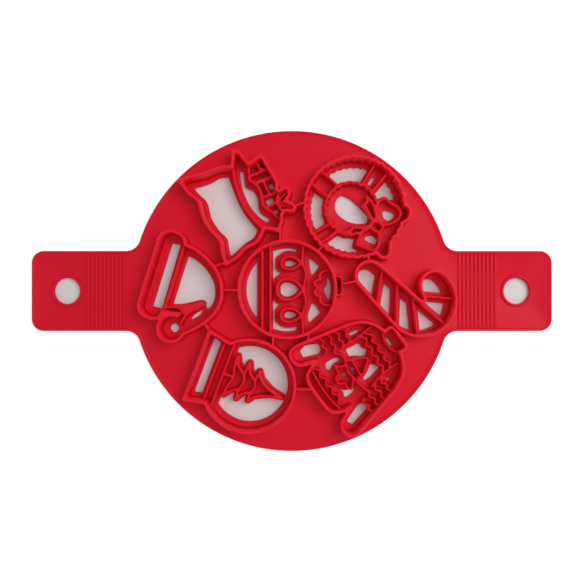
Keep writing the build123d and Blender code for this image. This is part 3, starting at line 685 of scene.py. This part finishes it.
def buildGrip(hand):
    # Across a rib, over a half turn a, the points go to the side by cos a and up by
    # sin a, each to the power of the fullness. Along it, at y from -1 to 1, the height
    # is eased by sqrt(1 - y^power).
    look = gripLook
    low, high = nodeBox(hand + "_grip_ribs")
    half = (high[0] - low[0] - (look["ribs"] - 1) * look["pitch"]) / 2
    centres = low[0] + half + look["pitch"] * np.arange(look["ribs"])
    bend = np.linspace(0, math.pi, look["rows"] + 1)
    aside = np.sign(np.cos(bend)) * np.abs(np.cos(bend)) ** look["fullness"]
    rise = np.abs(np.sin(bend)) ** look["fullness"]
    along = np.sin(np.linspace(-math.pi / 2, math.pi / 2, look["lengths"] + 1))[:, None]
    ease = np.sqrt(np.clip(1 - along ** look["endPower"], look["endHeight"] ** 2, 1))
    width = 1 - look["endNarrowing"] + look["endNarrowing"] * ease
    x = centres[:, None, None] - half * aside * width
    y = np.broadcast_to(high[1] * along, x.shape)
    foot = low[2] - look["sunk"]
    z = np.broadcast_to(foot + (high[2] - foot) * rise * ease, x.shape)
    points = np.stack([x, y, z], axis=-1).reshape(-1, 3)
    index = np.arange(len(points)).reshape(x.shape)
    behind, ahead = index[:, :-1], index[:, 1:]
    nextBehind, nextAhead = np.roll(behind, -1, axis=2), np.roll(ahead, -1, axis=2)
    quads = np.stack([nextBehind, nextAhead, ahead, behind], axis=-1).reshape(-1, 4)
    ends = index[:, 0, ::-1].tolist() + index[:, -1].tolist()
    addPiece(hand + "GripRibs", hand + "_grip_ribs", points, quads.tolist() + ends)


for hand in ("left", "right"):
    buildCollar(hand)
print("collars built")
for hand in ("left", "right"):
    buildGrip(hand)
print("grips built")


# Floor, light and camera.

stageLook = {
    "floorSize": 8.0,
    "floorDrop": 0.0003,
    "paperColour": (0.76, 0.76, 0.76, 1),
    "paperRoughness": 0.9,
    "openGlow": 0.55,  # added to the floor as seen, so that it comes out white
    "farGlow": 1.0,  # the same far away, where the lamps don't reach
    "farFrom": 0.4,
    "farTo": 1.2,
    "underGlow": 0.03,  # the same under the press, where it shows through the openings
    "underMargin": 1.5,  # millimetres that it stays inside the press
    "worldStrength": 0.36,
    "skyStrength": 1.0,  # the world as seen
}


def seenDirectly(tree):
    # 1 for what the camera sees, also in gloss and through glass, and 0 for light.
    path = tree.nodes.new("ShaderNodeLightPath").outputs
    seen = mathNode(tree, "MAXIMUM", path["Is Camera Ray"], path["Is Glossy Ray"])
    return mathNode(tree, "MAXIMUM", seen, path["Is Transmission Ray"])


def paperMaterial():
    # Plain paper with an added glow, which is less under the disc and the handles.
    look = stageLook
    paper = bpy.data.materials.new("paper")
    paper.use_nodes = True
    tree = paper.node_tree
    shader = tree.nodes["Principled BSDF"]
    setInputs(tree, shader, {
        "Base Color": look["paperColour"],
        "Roughness": look["paperRoughness"],
        "Specular IOR Level": 0.0,
    })
    split = tree.nodes.new("ShaderNodeSeparateXYZ")
    setInputs(tree, split, {0: tree.nodes.new("ShaderNodeTexCoord").outputs["Object"]})
    across, along = (mathNode(tree, "ABSOLUTE", split.outputs[axis]) for axis in ("X", "Y"))
    squares = [mathNode(tree, "POWER", side, 2.0) for side in (across, along)]
    reach = mathNode(tree, "SQRT", mathNode(tree, "ADD", *squares))
    handleEnd, handleSide = nodeBox("right_handle")[1][0], nodeBox("right_grip_ribs")[1][1]
    edges = np.array([discRadius, handleEnd, handleSide]) - look["underMargin"]
    discEdge, endEdge, sideEdge = (edges / metre).tolist()
    underDisc = mathNode(tree, "LESS_THAN", reach, discEdge)
    underEnd = mathNode(tree, "LESS_THAN", across, endEdge)
    underSide = mathNode(tree, "LESS_THAN", along, sideEdge)
    underHandles = mathNode(tree, "MULTIPLY", underEnd, underSide)
    covered = mathNode(tree, "MAXIMUM", underDisc, underHandles)
    far = look["farFrom"], look["farTo"]
    away = rangeNode(tree, reach, look["openGlow"], look["farGlow"], *far)
    level = rangeNode(tree, covered, away, look["underGlow"])
    glow = tree.nodes.new("ShaderNodeEmission")
    setInputs(tree, glow, {"Strength": mathNode(tree, "MULTIPLY", seenDirectly(tree), level)})
    both = tree.nodes.new("ShaderNodeAddShader")
    setInputs(tree, both, {0: shader.outputs[0], 1: glow.outputs[0]})
    setInputs(tree, tree.nodes["Material Output"], {"Surface": both.outputs[0]})
    return paper


size = stageLook["floorSize"]
corners = [(-size, -size, 0), (size, -size, 0), (size, size, 0), (-size, size, 0)]
floorMesh = bpy.data.meshes.new("floor")
floorMesh.from_pydata(corners, [], [(0, 1, 2, 3)])
floorMesh.materials.append(paperMaterial())
floor = bpy.data.objects.new("floor", floorMesh)
floor.location.z = cadBox[0][2] - stageLook["floorDrop"]
bpy.context.scene.collection.objects.link(floor)

world = bpy.data.worlds.new("studio")
bpy.context.scene.world = world
world.use_nodes = True
tree, levels = world.node_tree, (stageLook["worldStrength"], stageLook["skyStrength"])
sky = rangeNode(tree, seenDirectly(tree), *levels)
setInputs(tree, tree.nodes["Background"], {"Color": (1, 1, 1, 1), "Strength": sky})

lampLook = {
    "keyLamp": {"place": (0.56, 0.2, 0.95), "power": 6.2, "width": 0.7},
    "fillLamp": {"place": (-0.35, -0.3, 1.1), "power": 1.0, "width": 1.0},
}
for name, look in lampLook.items():
    lamp = bpy.data.lights.new(name, "AREA")
    lamp.energy, lamp.size = look["power"], look["width"]
    holder = bpy.data.objects.new(name, lamp)
    holder.location = look["place"]
    # a lamp shines down its own z axis, and the press lies at the origin
    holder.rotation_euler = holder.location.to_track_quat("Z", "Y").to_euler()
    bpy.context.scene.collection.objects.link(holder)

cameraLook = {
    "over": (0.0084, -0.009),  # it looks straight down from above this point
    "height": 0.414,  # above the sheet
    "fieldWidth": 0.432,  # seen at the height of the sheet
    "shift": (-0.026, 0.026),
    "nearest": 0.01,
}
cameraData = bpy.data.cameras.new("camera")
camera = bpy.data.objects.new("camera", cameraData)
camera.location = (*cameraLook["over"], cameraLook["height"] + sheetLevel / metre)
cameraData.angle = 2 * math.atan(cameraLook["fieldWidth"] / 2 / cameraLook["height"])
cameraData.shift_x, cameraData.shift_y = cameraLook["shift"]
cameraData.clip_start = cameraLook["nearest"]
bpy.context.scene.collection.objects.link(camera)
bpy.context.scene.camera = camera
bpy.context.scene.view_settings.view_transform = "Standard"
print("stage set")
